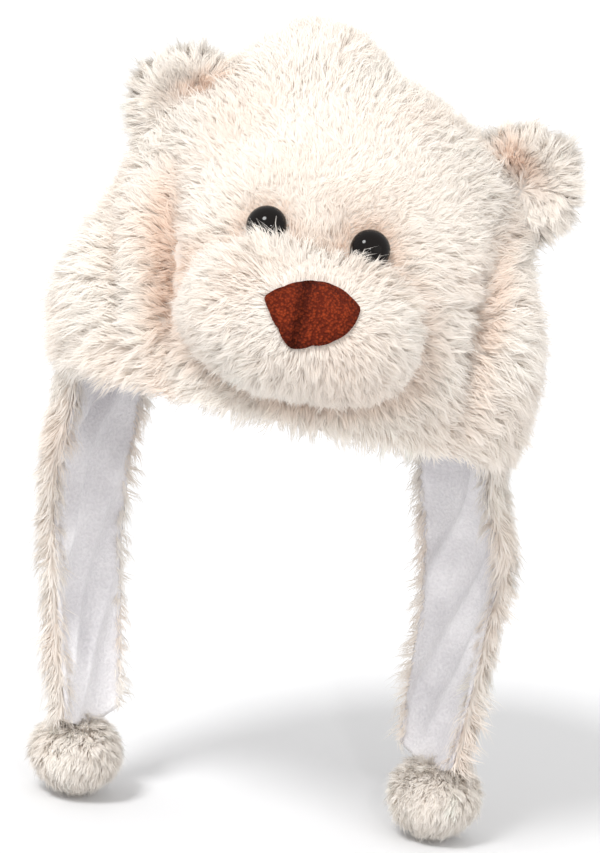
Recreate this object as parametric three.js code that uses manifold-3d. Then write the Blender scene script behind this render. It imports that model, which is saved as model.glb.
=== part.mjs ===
// Bear ear hat: a plush crown with a bear's face, a fleece lining, and two long flaps that end in pompoms.
// Lengths are in mm, angles in degrees. +X is the wearer's left, -Y the front and +Z up.
// The origin is the head seat, the inside top of the lining. The crown leans as the head that wears it,
// and the flaps hang straight down from its rim.

import * as THREE from "three";
import { ParametricGeometry } from "three/addons/geometries/ParametricGeometry.js";
import { mergeVertices } from "three/addons/utils/BufferGeometryUtils.js";
import Module from "manifold-3d";

const wasm = await Module();
wasm.setup();

// Head hollow
const headWidth = 198;
const headDepth = 176;
const crownDepth = 149; // from the head seat down to the rim
const crownFullness = 2.15; // 2 is an ellipsoid, more is boxier

// Cloth
const liningWall = 2.5;
const clothGap = 0.3; // between pieces that touch
const plushWall = 8; // the backing with the matted foot of its pile
const lockReach = 9; // how far the locks of the pile stand beyond that
const lockLean = 0.45; // how far a lock's tip is combed over, as a share of its reach
const rimFringe = 7; // how far the pile hangs below the rim
const lockMargin = 1.05; // how near a lock may stand to another piece, as a share of its reach
const flapMargin = 8; // the rim's fringe stops this far before a flap, as an angle

// How the crown sits
const crownRoll = 6; // lower at +X
const crownPitch = 6; // the front raised

// Face, measured in the crown's own frame, heights from the rim
const muzzleWidth = 106;
const muzzleHeight = 62;
const muzzleLength = 90; // of the whole padded body, part of which is behind the skin
const muzzleRise = 43;
const muzzleShift = -2; // from the middle, towards +X
const muzzleFullness = 2.2;
const muzzleStandOut = 42; // beyond the crown's skin

const noseWidth = 42;
const noseHeight = 30;
const noseWall = 5;
const noseRise = 51;
const noseShift = 1;
const noseMargin = 4; // kept free of locks round the nose

const eyeDiameter = 19;
const eyeDome = 7; // half thickness of the lens-shaped eye
const eyeSpacing = 47.2;
const eyeRise = 82.3;
const eyeShift = -3.1;
const eyeMargin = 2; // kept free of the muzzle's locks round each eye

const earDiameter = 50;
const earThickness = 16;
const earDish = 5; // how deep the front of the ear is dished
const earSpacing = 161;
const earRise = 124;
const earShift = 5; // the pair sits a little towards +X
const earForward = 8;
const earTurn = 12; // each ear looks a little outwards

const topKnotHeight = 14;
const topKnotWidth = 58;
const topKnotShift = -23;

// Flaps
const flapFront = 13; // how far in front of the side the flap starts at the rim, as an angle
const flapBack = 46; // and how far behind it ends
const flapWidth = 55; // in the middle of its length
const flapLength = 193; // from the higher side of the rim down to the pompoms
const flapPlush = 6; // backing and matted pile, thinner than on the crown
const flapLocks = 8;

// Pompoms
const pompomDiameter = 38;
const pompomHeight = 30;
const pompomLocks = 7;
const pompomSink = 5; // how far the flap's end reaches into the pile

// How finely the skins are divided
const crownColumns = 48;
const crownRows = 14;
const innerRows = 7;
const pompomColumns = 18;
const pompomRows = 10;

const sides = [
  { side: 1, name: "left" },
  { side: -1, name: "right" },
];

// Puffs and creases of the crown's skin, seen from the front. across and up are shares of the hollow's
// half width and of the crown's depth, wide and tall the half sizes in the same shares, lean is an angle,
// and swell is a share of the plush wall.
const skinForms = [
  { form: "right cheek", across: -1.02, up: 0.24, wide: 0.2, tall: 0.26, lean: 0, swell: 0.6 },
  { form: "left cheek", across: 1.02, up: 0.3, wide: 0.16, tall: 0.3, lean: 0, swell: 0.6 },
  { form: "right inner crease", across: -0.69, up: 0.33, wide: 0.07, tall: 0.24, lean: -25, swell: -0.55 },
  { form: "right outer crease", across: -0.97, up: 0.26, wide: 0.06, tall: 0.16, lean: -30, swell: -0.5 },
  { form: "left crease", across: 0.83, up: 0.42, wide: 0.07, tall: 0.24, lean: 0, swell: -0.55 },
  { form: "right eye socket", across: -0.31, up: 0.58, wide: 0.14, tall: 0.09, lean: 0, swell: -0.3 },
  { form: "left eye socket", across: 0.21, up: 0.58, wide: 0.14, tall: 0.09, lean: 0, swell: -0.3 },
  { form: "brow", across: -0.05, up: 0.74, wide: 0.4, tall: 0.08, lean: 0, swell: 0.25 },
];

// How each flap hangs. endAcross, endBack, bow and swing are shares of flapWidth: where its end lies from
// its root, and how far its middle bows back and swings out to the side. In a section, at is the share of its
// length, width a share of flapWidth, face the angle that its middle looks behind the side, and curl the
// angle of its cross-section.
const flapHang = {
  left: {
    endAcross: -0.04, endBack: -0.14, bow: 0.32, swing: 0.13,
    sections: [
      { at: 0, width: 1.6, face: 18, curl: 60 },
      { at: 0.3, width: 1.18, face: 35, curl: 54 },
      { at: 0.6, width: 0.92, face: 35, curl: 48 },
      { at: 1, width: 0.75, face: 36, curl: 60 },
    ],
  },
  right: {
    endAcross: 0.32, endBack: -0.12, bow: 0.1, swing: 0.11,
    sections: [
      { at: 0, width: 1.6, face: 18, curl: 60 },
      { at: 0.3, width: 1.16, face: 28, curl: 56 },
      { at: 0.6, width: 0.9, face: 32, curl: 54 },
      { at: 1, width: 0.7, face: 36, curl: 62 },
    ],
  },
};

const degrees = Math.PI / 180;
const quarterTurn = Math.PI / 2;
const up = new THREE.Vector3(0, 0, 1);

const plushInside = liningWall + clothGap;
const plushOutside = plushInside + plushWall;
const flapInside = liningWall + clothGap;
const flapOutside = flapInside + flapPlush;

const crownTurn = new THREE.Matrix4()
  .makeRotationY(crownRoll * degrees)
  .multiply(new THREE.Matrix4().makeRotationX(-crownPitch * degrees));

const cream = { color: 0xf0e6da, roughness: 1, metalness: 0 };
const fleece = { color: 0xdad8de, roughness: 0.95, metalness: 0 };
const rust = { color: 0x86341a, roughness: 0.9, metalness: 0 };
const glossBlack = { color: 0x0b0908, roughness: 0.12, metalness: 0 };

const hat = new THREE.Group();
const crown = new THREE.Group();
crown.applyMatrix4(crownTurn);
hat.add(crown);

function smooth(low, high, value) {
  return THREE.MathUtils.smoothstep(value, low, high);
}

// Value of one column of a table of sections, eased between its rows
function between(sections, at, column) {
  let last = sections[0];
  for (const section of sections) {
    if (section.at >= at) {
      const share = section.at > last.at ? (at - last.at) / (section.at - last.at) : 0;
      return THREE.MathUtils.lerp(last[column], section[column], smooth(0, 1, share));
    }
    last = section;
  }
  return last[column];
}

// Closed bodies

// Signed volume, which is negative where the faces point inwards
function signedVolume(points, index) {
  let sum = 0;
  for (let i = 0; i < index.length; i += 3) {
    const [a, b, c] = [points[index[i]], points[index[i + 1]], points[index[i + 2]]];
    sum += a.dot(new THREE.Vector3().crossVectors(b, c)) / 6;
  }
  return sum;
}

// A closed skin over a grid. pointAt(column, row) gives its points, and lockAt(middle, outward, column, row)
// the tip of the lock that stands on a patch, or nothing where the patch stays bare.
function skin(columns, rows, pointAt, lockAt = () => null) {
  const grid = new ParametricGeometry(
    (u, v, target) => target.copy(pointAt(u * columns, v * rows)),
    columns,
    rows,
  );
  grid.deleteAttribute("normal");
  grid.deleteAttribute("uv");
  const sheet = mergeVertices(grid, 1e-4);
  const index = Array.from(sheet.index.array);
  const places = sheet.getAttribute("position");
  const points = [];
  for (let i = 0; i < places.count; i++) points.push(new THREE.Vector3().fromBufferAttribute(places, i));
  const inward = signedVolume(points, index) < 0;
  const faces = [];
  for (let i = 0; i < index.length; i += 6) {
    const corners = [index[i], index[i + 1], index[i + 4], index[i + 2]];
    if (inward) corners.reverse();
    const patch = i / 6;
    const tip = lockOn(corners, patch % columns, Math.floor(patch / columns));
    if (tip) {
      points.push(tip);
      corners.forEach((corner, n) => faces.push([corner, corners[(n + 1) % 4], points.length - 1]));
    } else {
      const [a, b, c, d] = corners;
      const cutAtA = points[a].distanceTo(points[c]) <= points[b].distanceTo(points[d]);
      if (cutAtA) faces.push([a, b, c], [a, c, d]);
      else faces.push([a, b, d], [b, c, d]);
    }
  }
  return closedGeometry(points, faces);

  function lockOn(corners, column, row) {
    if (new Set(corners).size < 4) return null;
    const [a, b, c, d] = corners.map((corner) => points[corner]);
    const middle = new THREE.Vector3().add(a).add(b).add(c).add(d).divideScalar(4);
    const outward = new THREE.Vector3()
      .crossVectors(new THREE.Vector3().subVectors(c, a), new THREE.Vector3().subVectors(d, b))
      .normalize();
    return lockAt(middle, outward, column, row);
  }
}

function closedGeometry(points, faces) {
  const kept = faces.filter((face) => new Set(face).size === 3);
  return new THREE.BufferGeometry()
    .setFromPoints(points)
    .setIndex(kept.flat());
}

function solidOf(geometry) {
  const plain = geometry.clone();
  plain.deleteAttribute("normal");
  plain.deleteAttribute("uv");
  const merged = mergeVertices(plain, 1e-4);
  const mesh = new wasm.Mesh({
    numProp: 3,
    vertProperties: new Float32Array(merged.getAttribute("position").array),
    triVerts: new Uint32Array(merged.index.array),
  });
  return new wasm.Manifold(mesh);
}

function geometryOf(solid) {
  const mesh = solid.getMesh();
  return new THREE.BufferGeometry()
    .setAttribute("position", new THREE.BufferAttribute(new Float32Array(mesh.vertProperties), 3))
    .setIndex(new THREE.BufferAttribute(new Uint32Array(mesh.triVerts), 1));
}

function addPiece(group, name, finish, geometry) {
  const shaded = geometry.toNonIndexed();
  shaded.computeVertexNormals();
  const piece = new THREE.Mesh(shaded, new THREE.MeshStandardMaterial(finish));
  piece.name = name;
  group.add(piece);
  return piece;
}

// The tip of a lock that stands on a patch and is combed towards a direction
function lockTip(middle, outward, comb, reach, lean = lockLean) {
  const along = comb.clone().addScaledVector(outward, -comb.dot(outward));
  if (along.lengthSq() > 1e-6) along.normalize();
  return middle.clone().addScaledVector(outward, reach).addScaledVector(along, reach * lean);
}

// Locks differ in length by a slow wave, so that no two rows are alike
function uneven(column, row) {
  return 0.88 + 0.12 * Math.sin(2.3 * column + 1.7 * row) * Math.cos(1.1 * column - 2.9 * row);
}

// Crown

// A point of the crown in its own frame: turn runs round from the front, rise from 0 at the rim to 1 at
// the top, and out is the distance outside the head hollow.
function domePoint(turn, rise, out) {
  const power = 2 / crownFullness;
  const lift = Math.max(0, Math.sin((rise * Math.PI) / 2)) ** power;
  const spread = Math.max(0, Math.cos((rise * Math.PI) / 2)) ** power;
  return new THREE.Vector3(
    (headWidth / 2 + out) * spread * Math.sin(turn),
    -(headDepth / 2 + out) * spread * Math.cos(turn),
    -crownDepth + (crownDepth + out) * lift,
  );
}

// How far the plush swells or sinks at a point of its skin
function skinSwell(point) {
  let swell = 0;
  const front = smooth(0, 0.5, -point.y / (headDepth / 2));
  for (const { across, up: height, wide, tall, lean, swell: share } of skinForms) {
    const x = point.x / (headWidth / 2) - across;
    const z = (point.z + crownDepth) / crownDepth - height;
    const side = x * Math.cos(lean * degrees) - z * Math.sin(lean * degrees);
    const rise = x * Math.sin(lean * degrees) + z * Math.cos(lean * degrees);
    swell += front * share * plushWall * Math.exp(-((side / wide) ** 2) - (rise / tall) ** 2);
  }
  const knot = Math.hypot(point.x - topKnotShift, point.y) / (topKnotWidth / 2);
  const onTop = smooth(0.5, 0.8, 1 + point.z / crownDepth);
  return swell + onTop * topKnotHeight * Math.exp(-(knot ** 2));
}

function plushPoint(turn, rise, extra = 0) {
  const plain = domePoint(turn, rise, plushOutside);
  return domePoint(turn, rise, plushOutside + skinSwell(plain) + extra);
}

// How far a point lies outside the crown's plush, measured from the middle of the hollow
function outsideCrown(point) {
  const across = Math.hypot(
    point.x / (headWidth / 2 + plushOutside),
    point.y / (headDepth / 2 + plushOutside),
  );
  const height = Math.max(0, point.z + crownDepth) / (crownDepth + plushOutside);
  const level = (across ** crownFullness + height ** crownFullness) ** (1 / crownFullness);
  return (level - 1) * (headWidth / 2 + plushOutside) - skinSwell(point);
}

// The point of the crown's skin in front of a place on the face
function facePoint(across, height) {
  const rise = height / (crownDepth + plushOutside);
  const spread = (1 - rise ** crownFullness) ** (1 / crownFullness);
  const halfWidth = (headWidth / 2 + plushOutside) * spread;
  const turn = Math.asin(across / halfWidth);
  const angle = (Math.asin(rise ** (crownFullness / 2)) * 2) / Math.PI;
  return plushPoint(turn, angle);
}

// A crown shell runs down its outside from the top, across the rim and up its inside
function crownShell(outerRows, outerPoint, innerPoint, lockAt) {
  const rows = outerRows + 1 + innerRows;
  const pointAt = (column, row) => {
    const turn = (column / crownColumns) * 2 * Math.PI;
    if (row <= outerRows) return outerPoint(turn, 1 - row / outerRows);
    return innerPoint(turn, (row - outerRows - 1) / innerRows);
  };
  return skin(crownColumns, rows, pointAt, lockAt);
}

// The same skin as one filled body, grown by a distance, for fitting what is sewn on it
function crownBody(grown) {
  const rows = crownRows + 1;
  const pointAt = (column, row) => {
    const turn = (column / crownColumns) * 2 * Math.PI;
    if (row <= crownRows) return plushPoint(turn, 1 - row / crownRows, grown);
    return new THREE.Vector3(0, 0, -crownDepth);
  };
  return solidOf(skin(crownColumns, rows, pointAt));
}

const noseSeat = new THREE.Vector3(
  noseShift,
  -headDepth / 2 - plushOutside - muzzleStandOut,
  noseRise - crownDepth,
);
const muzzleMiddle = new THREE.Vector3(
  muzzleShift,
  -headDepth / 2 - plushOutside - muzzleStandOut + muzzleLength / 2,
  muzzleRise - crownDepth,
);
const earMiddles = sides.map(({ side }) => {
  const across = earShift + (side * earSpacing) / 2;
  return new THREE.Vector3(across, -earForward, earRise - crownDepth);
});
const eyeSeats = sides.map(({ side }) => {
  const across = eyeShift + (side * eyeSpacing) / 2;
  return facePoint(across, eyeRise);
});

function insideMuzzle(point, margin) {
  const x = Math.abs(point.x - muzzleMiddle.x) / (muzzleWidth / 2 + margin);
  const y = Math.abs(point.y - muzzleMiddle.y) / (muzzleLength / 2 + margin);
  const z = Math.abs(point.z - muzzleMiddle.z) / (muzzleHeight / 2 + margin);
  return x ** muzzleFullness + y ** muzzleFullness + z ** muzzleFullness < 1;
}

function nearEye(point, margin) {
  return eyeSeats.some((seat) => seat.distanceTo(point) < eyeDiameter / 2 + margin);
}

function nearEar(point, margin) {
  return sides.some(({ side }, n) => {
    const from = new THREE.Vector3()
      .subVectors(point, earMiddles[n])
      .applyAxisAngle(up, -side * earTurn * degrees);
    const beside = Math.hypot(from.x, from.z) < earDiameter / 2 + margin;
    return beside && Math.abs(from.y) < earThickness / 2 + margin;
  });
}

// The pile is combed away from the nose over the face, and hangs at the sides and the back
function combAt(point) {
  const away = new THREE.Vector3().subVectors(point, noseSeat).normalize();
  const hang = smooth(0.1, -0.5, -point.y / (headDepth / 2));
  return away.multiplyScalar(1 - hang).addScaledVector(up, -hang - 0.15);
}

function overFlap(point) {
  const behind = Math.atan2(point.y / headDepth, Math.abs(point.x) / headWidth) / degrees;
  return behind > -flapFront - flapMargin && behind < flapBack + flapMargin;
}

function crownLock(middle, outward, column, row) {
  if (row > crownRows) return null;
  if (row === crownRows) {
    if (overFlap(middle)) return null;
    const hang = rimFringe * uneven(column, row);
    const aside = new THREE.Vector3(middle.x, middle.y, 0).setLength(plushWall / 2);
    return middle.clone().add(aside).addScaledVector(up, -hang);
  }
  const margin = lockReach * lockMargin;
  if (insideMuzzle(middle, margin) || nearEye(middle, margin) || nearEar(middle, margin)) return null;
  const tip = lockTip(middle, outward, combAt(middle), lockReach * uneven(column, row));
  return insideMuzzle(tip, margin) ? null : tip;
}

const crownPlush = crownShell(
  crownRows,
  (turn, rise) => plushPoint(turn, rise),
  (turn, rise) => domePoint(turn, rise, plushInside),
  crownLock,
);
addPiece(crown, "crown_plush", cream, crownPlush);

const crownLining = crownShell(
  innerRows,
  (turn, rise) => domePoint(turn, rise, liningWall),
  (turn, rise) => domePoint(turn, rise, 0),
);
addPiece(crown, "crown_lining", fleece, crownLining);

// Padded bodies

// A full rounded body about its middle, with its poles in front and behind, grown by a distance
function cushionSkin(size, fullness, middle, columns, rows, grown, lockAt) {
  const power = 2 / fullness;
  const signed = (value) => Math.sign(value) * Math.abs(value) ** power;
  const pointAt = (column, row) => {
    const turn = (column / columns) * 2 * Math.PI;
    const tilt = (row / rows) * Math.PI;
    const ring = Math.abs(Math.sin(tilt)) ** power;
    return new THREE.Vector3(
      middle.x + (size.x / 2 + grown) * ring * signed(Math.cos(turn)),
      middle.y - (size.y / 2 + grown) * signed(Math.cos(tilt)),
      middle.z + (size.z / 2 + grown) * ring * signed(Math.sin(turn)),
    );
  };
  return skin(columns, rows, pointAt, lockAt);
}

const muzzleSize = new THREE.Vector3(muzzleWidth, muzzleLength, muzzleHeight);
const muzzleColumns = 26;
const muzzleRows = 15;
const muzzleFoot = 1.1; // locks start this far from the crown's skin, as a share of their reach
const seatedOnCrown = crownBody(clothGap);

function muzzleSkin(grown, lockAt) {
  return cushionSkin(muzzleSize, muzzleFullness, muzzleMiddle, muzzleColumns, muzzleRows, grown, lockAt);
}

function muzzleLock(middle, outward, column, row) {
  const reach = lockReach * uneven(column, row);
  const comb = new THREE.Vector3().subVectors(middle, noseSeat);
  const tip = lockTip(middle, outward, comb, reach);
  const underNose =
    Math.abs(middle.x - noseSeat.x) < noseWidth / 2 + noseMargin &&
    Math.abs(middle.z - noseSeat.z) < noseHeight / 2 + noseMargin &&
    middle.y < muzzleMiddle.y;
  const low = Math.min(outsideCrown(middle), outsideCrown(tip));
  if (underNose || low < lockReach * muzzleFoot || nearEye(tip, eyeMargin)) return null;
  return tip;
}

const muzzleSolid = solidOf(muzzleSkin(0, muzzleLock)).subtract(seatedOnCrown);
addPiece(crown, "muzzle", cream, geometryOf(muzzleSolid));

// Nose: a rounded triangle, point down, that follows the front of the muzzle. Its outline runs round in
// shares of its half width and half height.
const noseCorners = [
  [-1, 0.22], [-0.68, 0.63], [-0.37, 0.85], [-0.04, 0.96], [0.31, 0.95], [0.69, 0.75], [0.94, 0.5],
  [0.83, -0.12], [0.55, -0.53], [0.13, -0.8], [-0.27, -1], [-0.6, -0.55], [-0.86, -0.15],
];

function noseOutline() {
  const corners = noseCorners.map(
    ([across, height]) => new THREE.Vector2((across * noseWidth) / 2, (height * noseHeight) / 2),
  );
  return new THREE.Shape(corners.reverse());
}

const nosePrism = new THREE.ExtrudeGeometry(noseOutline(), {
  depth: muzzleStandOut,
  bevelEnabled: false,
});
nosePrism.rotateX(Math.PI / 2); // its face now looks along -Y
nosePrism.translate(noseSeat.x, noseSeat.y + muzzleStandOut / 2, noseSeat.z);
const noseSolid = solidOf(nosePrism)
  .intersect(solidOf(muzzleSkin(noseWall)))
  .subtract(solidOf(muzzleSkin(clothGap)));
addPiece(crown, "nose", rust, geometryOf(noseSolid));

// Eyes: lens-shaped domes seated in the pile

// How far they look aside and up, as shares of the skin's own slope
const eyeGaze = { across: 0.9, up: 0.35 };
const eyeProud = 0.6; // how far an eye's middle stands before the skin, as a share of its half thickness
const eyeColumns = 16;
const eyeRows = 8;

sides.forEach(({ name }, n) => {
  const seat = eyeSeats[n];
  const outward = new THREE.Vector3(
    seat.x * eyeGaze.across,
    seat.y,
    (seat.z + crownDepth) * eyeGaze.up,
  ).normalize();
  const eye = new THREE.SphereGeometry(eyeDiameter / 2, eyeColumns, eyeRows);
  eye.scale(1, eyeDome / (eyeDiameter / 2), 1);
  const turn = new THREE.Quaternion().setFromUnitVectors(new THREE.Vector3(0, -1, 0), outward);
  eye.applyQuaternion(turn);
  const middle = seat.clone().addScaledVector(outward, eyeDome * eyeProud);
  eye.translate(middle.x, middle.y, middle.z);
  addPiece(crown, "eye_" + name, glossBlack, geometryOf(solidOf(eye).subtract(seatedOnCrown)));
});

// Ears: padded discs, dished in front, turned a little outwards

const earColumns = 20;
const earRows = [
  { ring: 0, front: -0.5, dish: 1 },
  { ring: 0.42, front: -0.5, dish: 0.8 },
  { ring: 0.74, front: -0.5, dish: 0.1 },
  { ring: 0.93, front: -0.34, dish: 0 },
  { ring: 1, front: 0, dish: 0 },
  { ring: 0.93, front: 0.34, dish: 0 },
  { ring: 0.7, front: 0.48, dish: 0 },
  { ring: 0.38, front: 0.52, dish: 0 },
  { ring: 0, front: 0.52, dish: 0 },
];
const dishedRows = 2;
const earFoot = 0.8; // locks start this far from the crown's skin, as a share of their reach

sides.forEach(({ side, name }, n) => {
  const middle = earMiddles[n];
  const pointAt = (column, row) => {
    const { ring, front, dish } = earRows[Math.round(row)];
    const turn = (column / earColumns) * 2 * Math.PI;
    const radius = (ring * earDiameter) / 2;
    const depth = front * earThickness + dish * earDish;
    return new THREE.Vector3(radius * Math.cos(turn), depth, radius * Math.sin(turn))
      .applyAxisAngle(up, side * earTurn * degrees)
      .add(middle);
  };
  const lockAt = (patch, outward, column, row) => {
    if (row < dishedRows) return null;
    const comb = new THREE.Vector3().subVectors(patch, middle);
    const tip = lockTip(patch, outward, comb, lockReach * uneven(column, row));
    const low = Math.min(outsideCrown(patch), outsideCrown(tip));
    return low < lockReach * earFoot ? null : tip;
  };
  const ear = solidOf(skin(earColumns, earRows.length - 1, pointAt, lockAt)).subtract(seatedOnCrown);
  addPiece(crown, "ear_" + name, cream, geometryOf(ear));
});

// Flaps

const flapColumns = 7;
const flapRows = 15;

const swingEarly = 0.6; // below 1, the flap swings out most above its middle
const rimHold = 0.42; // share of a flap's length over which it still follows the curve of the rim

// A point of a flap in the hat's frame: across runs from -1 at its front edge to 1 at its back edge, along
// from 0 at the rim to 1 at its end, and out is the distance outside the head's side of the lining.
function flapPoint({ side, name }, across, along, out) {
  const { endAcross, endBack, bow, swing, sections } = flapHang[name];
  const middleTurn = (flapBack - flapFront) / 2;
  const halfTurn = (flapBack + flapFront) / 2;
  const rimAt = (share) =>
    domePoint(side * (quarterTurn + (middleTurn + share * halfTurn) * degrees), 0, out)
      .addScaledVector(up, -clothGap)
      .applyMatrix4(crownTurn);
  const root = domePoint(side * (quarterTurn + middleTurn * degrees), 0, 0)
    .addScaledVector(up, -clothGap)
    .applyMatrix4(crownTurn);
  const drop = root.z - flapEndHeight;
  const facing = between(sections, along, "face") * degrees;
  const curl = (between(sections, along, "curl") / 2) * degrees;
  const width = between(sections, along, "width") * flapWidth;
  const radius = width / 2 / curl;
  const outward = new THREE.Vector3(side * Math.cos(facing), Math.sin(facing), 0);
  const backward = new THREE.Vector3(-side * Math.sin(facing), Math.cos(facing), 0);
  const hanging = new THREE.Vector3(
    root.x + flapWidth * (endAcross * along + side * swing * Math.sin(Math.PI * along ** swingEarly)),
    root.y + flapWidth * (endBack * smooth(0, 1, along) + bow * Math.sin(Math.PI * along)),
    root.z - drop * along,
  )
    .addScaledVector(backward, (radius + out) * Math.sin(curl * across))
    .addScaledVector(outward, (radius + out) * Math.cos(curl * across) - radius);
  const fromRim = rimAt(across).addScaledVector(up, -drop * along);
  return fromRim.lerp(hanging, smooth(0, rimHold, along));
}

const flapEndHeight = domePoint(-quarterTurn, 0, 0).applyMatrix4(crownTurn).z - flapLength;

// A flat body between two distances of a surface, with its ends closed
function slabSkin(surface, low, high, columns, rows, lockAt) {
  const around = 2 * columns + 2;
  const pointAt = (column, row) => {
    const step = Math.round(column) % around;
    const onOutside = step <= columns;
    const across = onOutside ? -1 + (2 * step) / columns : 1 - (2 * (step - columns - 1)) / columns;
    const along = THREE.MathUtils.clamp((row - 1) / rows, 0, 1);
    const capped = row < 0.5 || row > rows + 1.5;
    const out = capped ? (low + high) / 2 : onOutside ? high : low;
    return surface(across, along, out);
  };
  return skin(around, rows + 2, pointAt, lockAt);
}

// Pompoms hang at the ends of the flaps

function flapEnd(flap) {
  return flapPoint(flap, 0, 1, (flapOutside + liningWall) / 2);
}

function pompomSkin(middle, grown, lockAt) {
  const pointAt = (column, row) => {
    const turn = (column / pompomColumns) * 2 * Math.PI;
    const tilt = (row / pompomRows) * Math.PI;
    return new THREE.Vector3(
      middle.x + (pompomDiameter / 2 + grown) * Math.sin(tilt) * Math.cos(turn),
      middle.y + (pompomDiameter / 2 + grown) * Math.sin(tilt) * Math.sin(turn),
      middle.z + (pompomHeight / 2 + grown) * Math.cos(tilt),
    );
  };
  return skin(pompomColumns, pompomRows, pointAt, lockAt);
}

for (const flap of sides) {
  const end = flapEnd(flap);
  const middle = end.clone().addScaledVector(up, pompomSink - pompomHeight / 2);
  const pompomLock = (patch, outward, column, row) => {
    const tip = lockTip(patch, outward, outward, pompomLocks * uneven(column, row));
    return tip.z > end.z - 2 * clothGap ? null : tip;
  };
  addPiece(hat, "pompom_" + flap.name, cream, pompomSkin(middle, 0, pompomLock));

  const room = solidOf(pompomSkin(middle, clothGap));
  const surface = (across, along, out) => flapPoint(flap, across, along, out);
  const flapLock = (patch, outward, column, row) => {
    if (column >= flapColumns || row < 1 || row > flapRows) return null;
    const nearEnd = patch.z < end.z + flapLocks;
    return nearEnd ? null : lockTip(patch, outward, up.clone().negate(), flapLocks * uneven(column, row));
  };
  const plush = slabSkin(surface, flapInside, flapOutside, flapColumns, flapRows, flapLock);
  addPiece(hat, "flap_plush_" + flap.name, cream, geometryOf(solidOf(plush).subtract(room)));
  const lining = slabSkin(surface, 0, liningWall, flapColumns, flapRows);
  addPiece(hat, "flap_lining_" + flap.name, fleece, geometryOf(solidOf(lining).subtract(room)));
}

export default hat;
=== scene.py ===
import math

import bmesh
import bpy
import numpy as np
from mathutils import Matrix, Vector
from mathutils.kdtree import KDTree


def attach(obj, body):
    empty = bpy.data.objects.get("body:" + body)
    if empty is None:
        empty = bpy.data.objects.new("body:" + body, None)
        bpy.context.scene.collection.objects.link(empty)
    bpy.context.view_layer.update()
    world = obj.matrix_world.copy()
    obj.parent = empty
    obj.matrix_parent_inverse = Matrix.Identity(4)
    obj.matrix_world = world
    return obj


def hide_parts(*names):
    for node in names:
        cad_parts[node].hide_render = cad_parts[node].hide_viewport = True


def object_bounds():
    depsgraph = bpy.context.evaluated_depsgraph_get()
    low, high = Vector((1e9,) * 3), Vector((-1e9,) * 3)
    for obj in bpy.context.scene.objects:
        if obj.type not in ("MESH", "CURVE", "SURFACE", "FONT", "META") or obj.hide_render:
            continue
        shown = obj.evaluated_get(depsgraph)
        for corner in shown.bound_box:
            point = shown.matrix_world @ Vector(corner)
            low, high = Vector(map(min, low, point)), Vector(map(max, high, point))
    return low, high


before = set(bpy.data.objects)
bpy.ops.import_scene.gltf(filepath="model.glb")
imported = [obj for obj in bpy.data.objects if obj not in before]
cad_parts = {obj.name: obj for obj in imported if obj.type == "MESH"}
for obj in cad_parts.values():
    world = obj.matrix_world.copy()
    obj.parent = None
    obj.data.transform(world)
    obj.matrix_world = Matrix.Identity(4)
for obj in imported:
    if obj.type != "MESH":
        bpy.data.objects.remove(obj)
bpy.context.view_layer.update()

# Bear ear hat. Forms are worked out in mm, in the crown's own frame or the hat's, and written in metres.
metre = 0.001
whole = 2 * math.pi
unturned = np.eye(3)
down = np.array([0, 0, -1.0])


def turnAbout(axis, angle):
    c, s = math.cos(math.radians(angle)), math.sin(math.radians(angle))
    if axis == "x":
        return np.array([[1, 0, 0], [0, c, -s], [0, s, c]])
    if axis == "y":
        return np.array([[c, 0, s], [0, 1, 0], [-s, 0, c]])
    return np.array([[c, -s, 0], [s, c, 0], [0, 0, 1]])


def smooth(low, high, value):
    share = np.clip((value - low) / (high - low), 0, 1)
    return share * share * (3 - 2 * share)


def signedPower(value, power):
    return np.sign(value) * np.abs(value) ** power


def lengthOf(vectors):
    return np.linalg.norm(vectors, axis=-1, keepdims=True)


def unit(vectors):
    return vectors / np.maximum(lengthOf(vectors), 1e-9)


def mix(first, second, share):
    return first + (second - first) * share


def bothSides(make):
    for side, name in ((1, "left"), (-1, "right")):
        make(side, name)


waves = {"count": 5, "lengths": (1.4, 2.8), "height": 2.6}


# A slow uneven field from about -1 to 1 over points in mm, with features of about the given size
def drift(points, size, seed):
    rng = np.random.default_rng(seed)
    total = np.zeros(points.shape[:-1])
    for _ in range(waves["count"]):
        direction = unit(rng.normal(size=3)) * whole / (size * rng.uniform(*waves["lengths"]))
        total += np.sin(points @ direction + rng.uniform(0, whole))
    return total / waves["height"]


# The same, times a share. A piece's dictionary holds each as share, size and seed.
def uneven(points, field):
    share, size, seed = field
    return share * drift(points, size, seed)


# Materials

def newMaterial(name, surface):
    material = bpy.data.materials.new(name)
    material.use_nodes = True
    nodes, links = material.node_tree.nodes, material.node_tree.links
    shader = nodes["Principled BSDF"]
    for socket, value in surface.items():
        shader.inputs[socket].default_value = value
    return material, shader, nodes, links


def attributeNode(nodes, name):
    node = nodes.new("ShaderNodeAttribute")
    node.attribute_name = name
    return node


def noiseNode(nodes, links, place, scale, detail):
    noise = nodes.new("ShaderNodeTexNoise")
    noise.inputs["Scale"].default_value = scale
    noise.inputs["Detail"].default_value = detail
    links.new(place, noise.inputs["Vector"])
    return noise.outputs["Fac"]


def mathNode(nodes, links, operation, *values):
    node = nodes.new("ShaderNodeMath")
    node.operation = operation
    for socket, value in zip(node.inputs, values):
        if isinstance(value, bpy.types.NodeSocket):
            links.new(value, socket)
        else:
            socket.default_value = value
    return node.outputs["Value"]


def rampNode(nodes, links, value, stops, colors):
    ramp = nodes.new("ShaderNodeValToRGB")
    for element, at, color in zip(ramp.color_ramp.elements, stops, colors):
        element.position = at
        element.color = (*color, 1)
    links.new(value, ramp.inputs["Fac"])
    return ramp.outputs["Color"]


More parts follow.
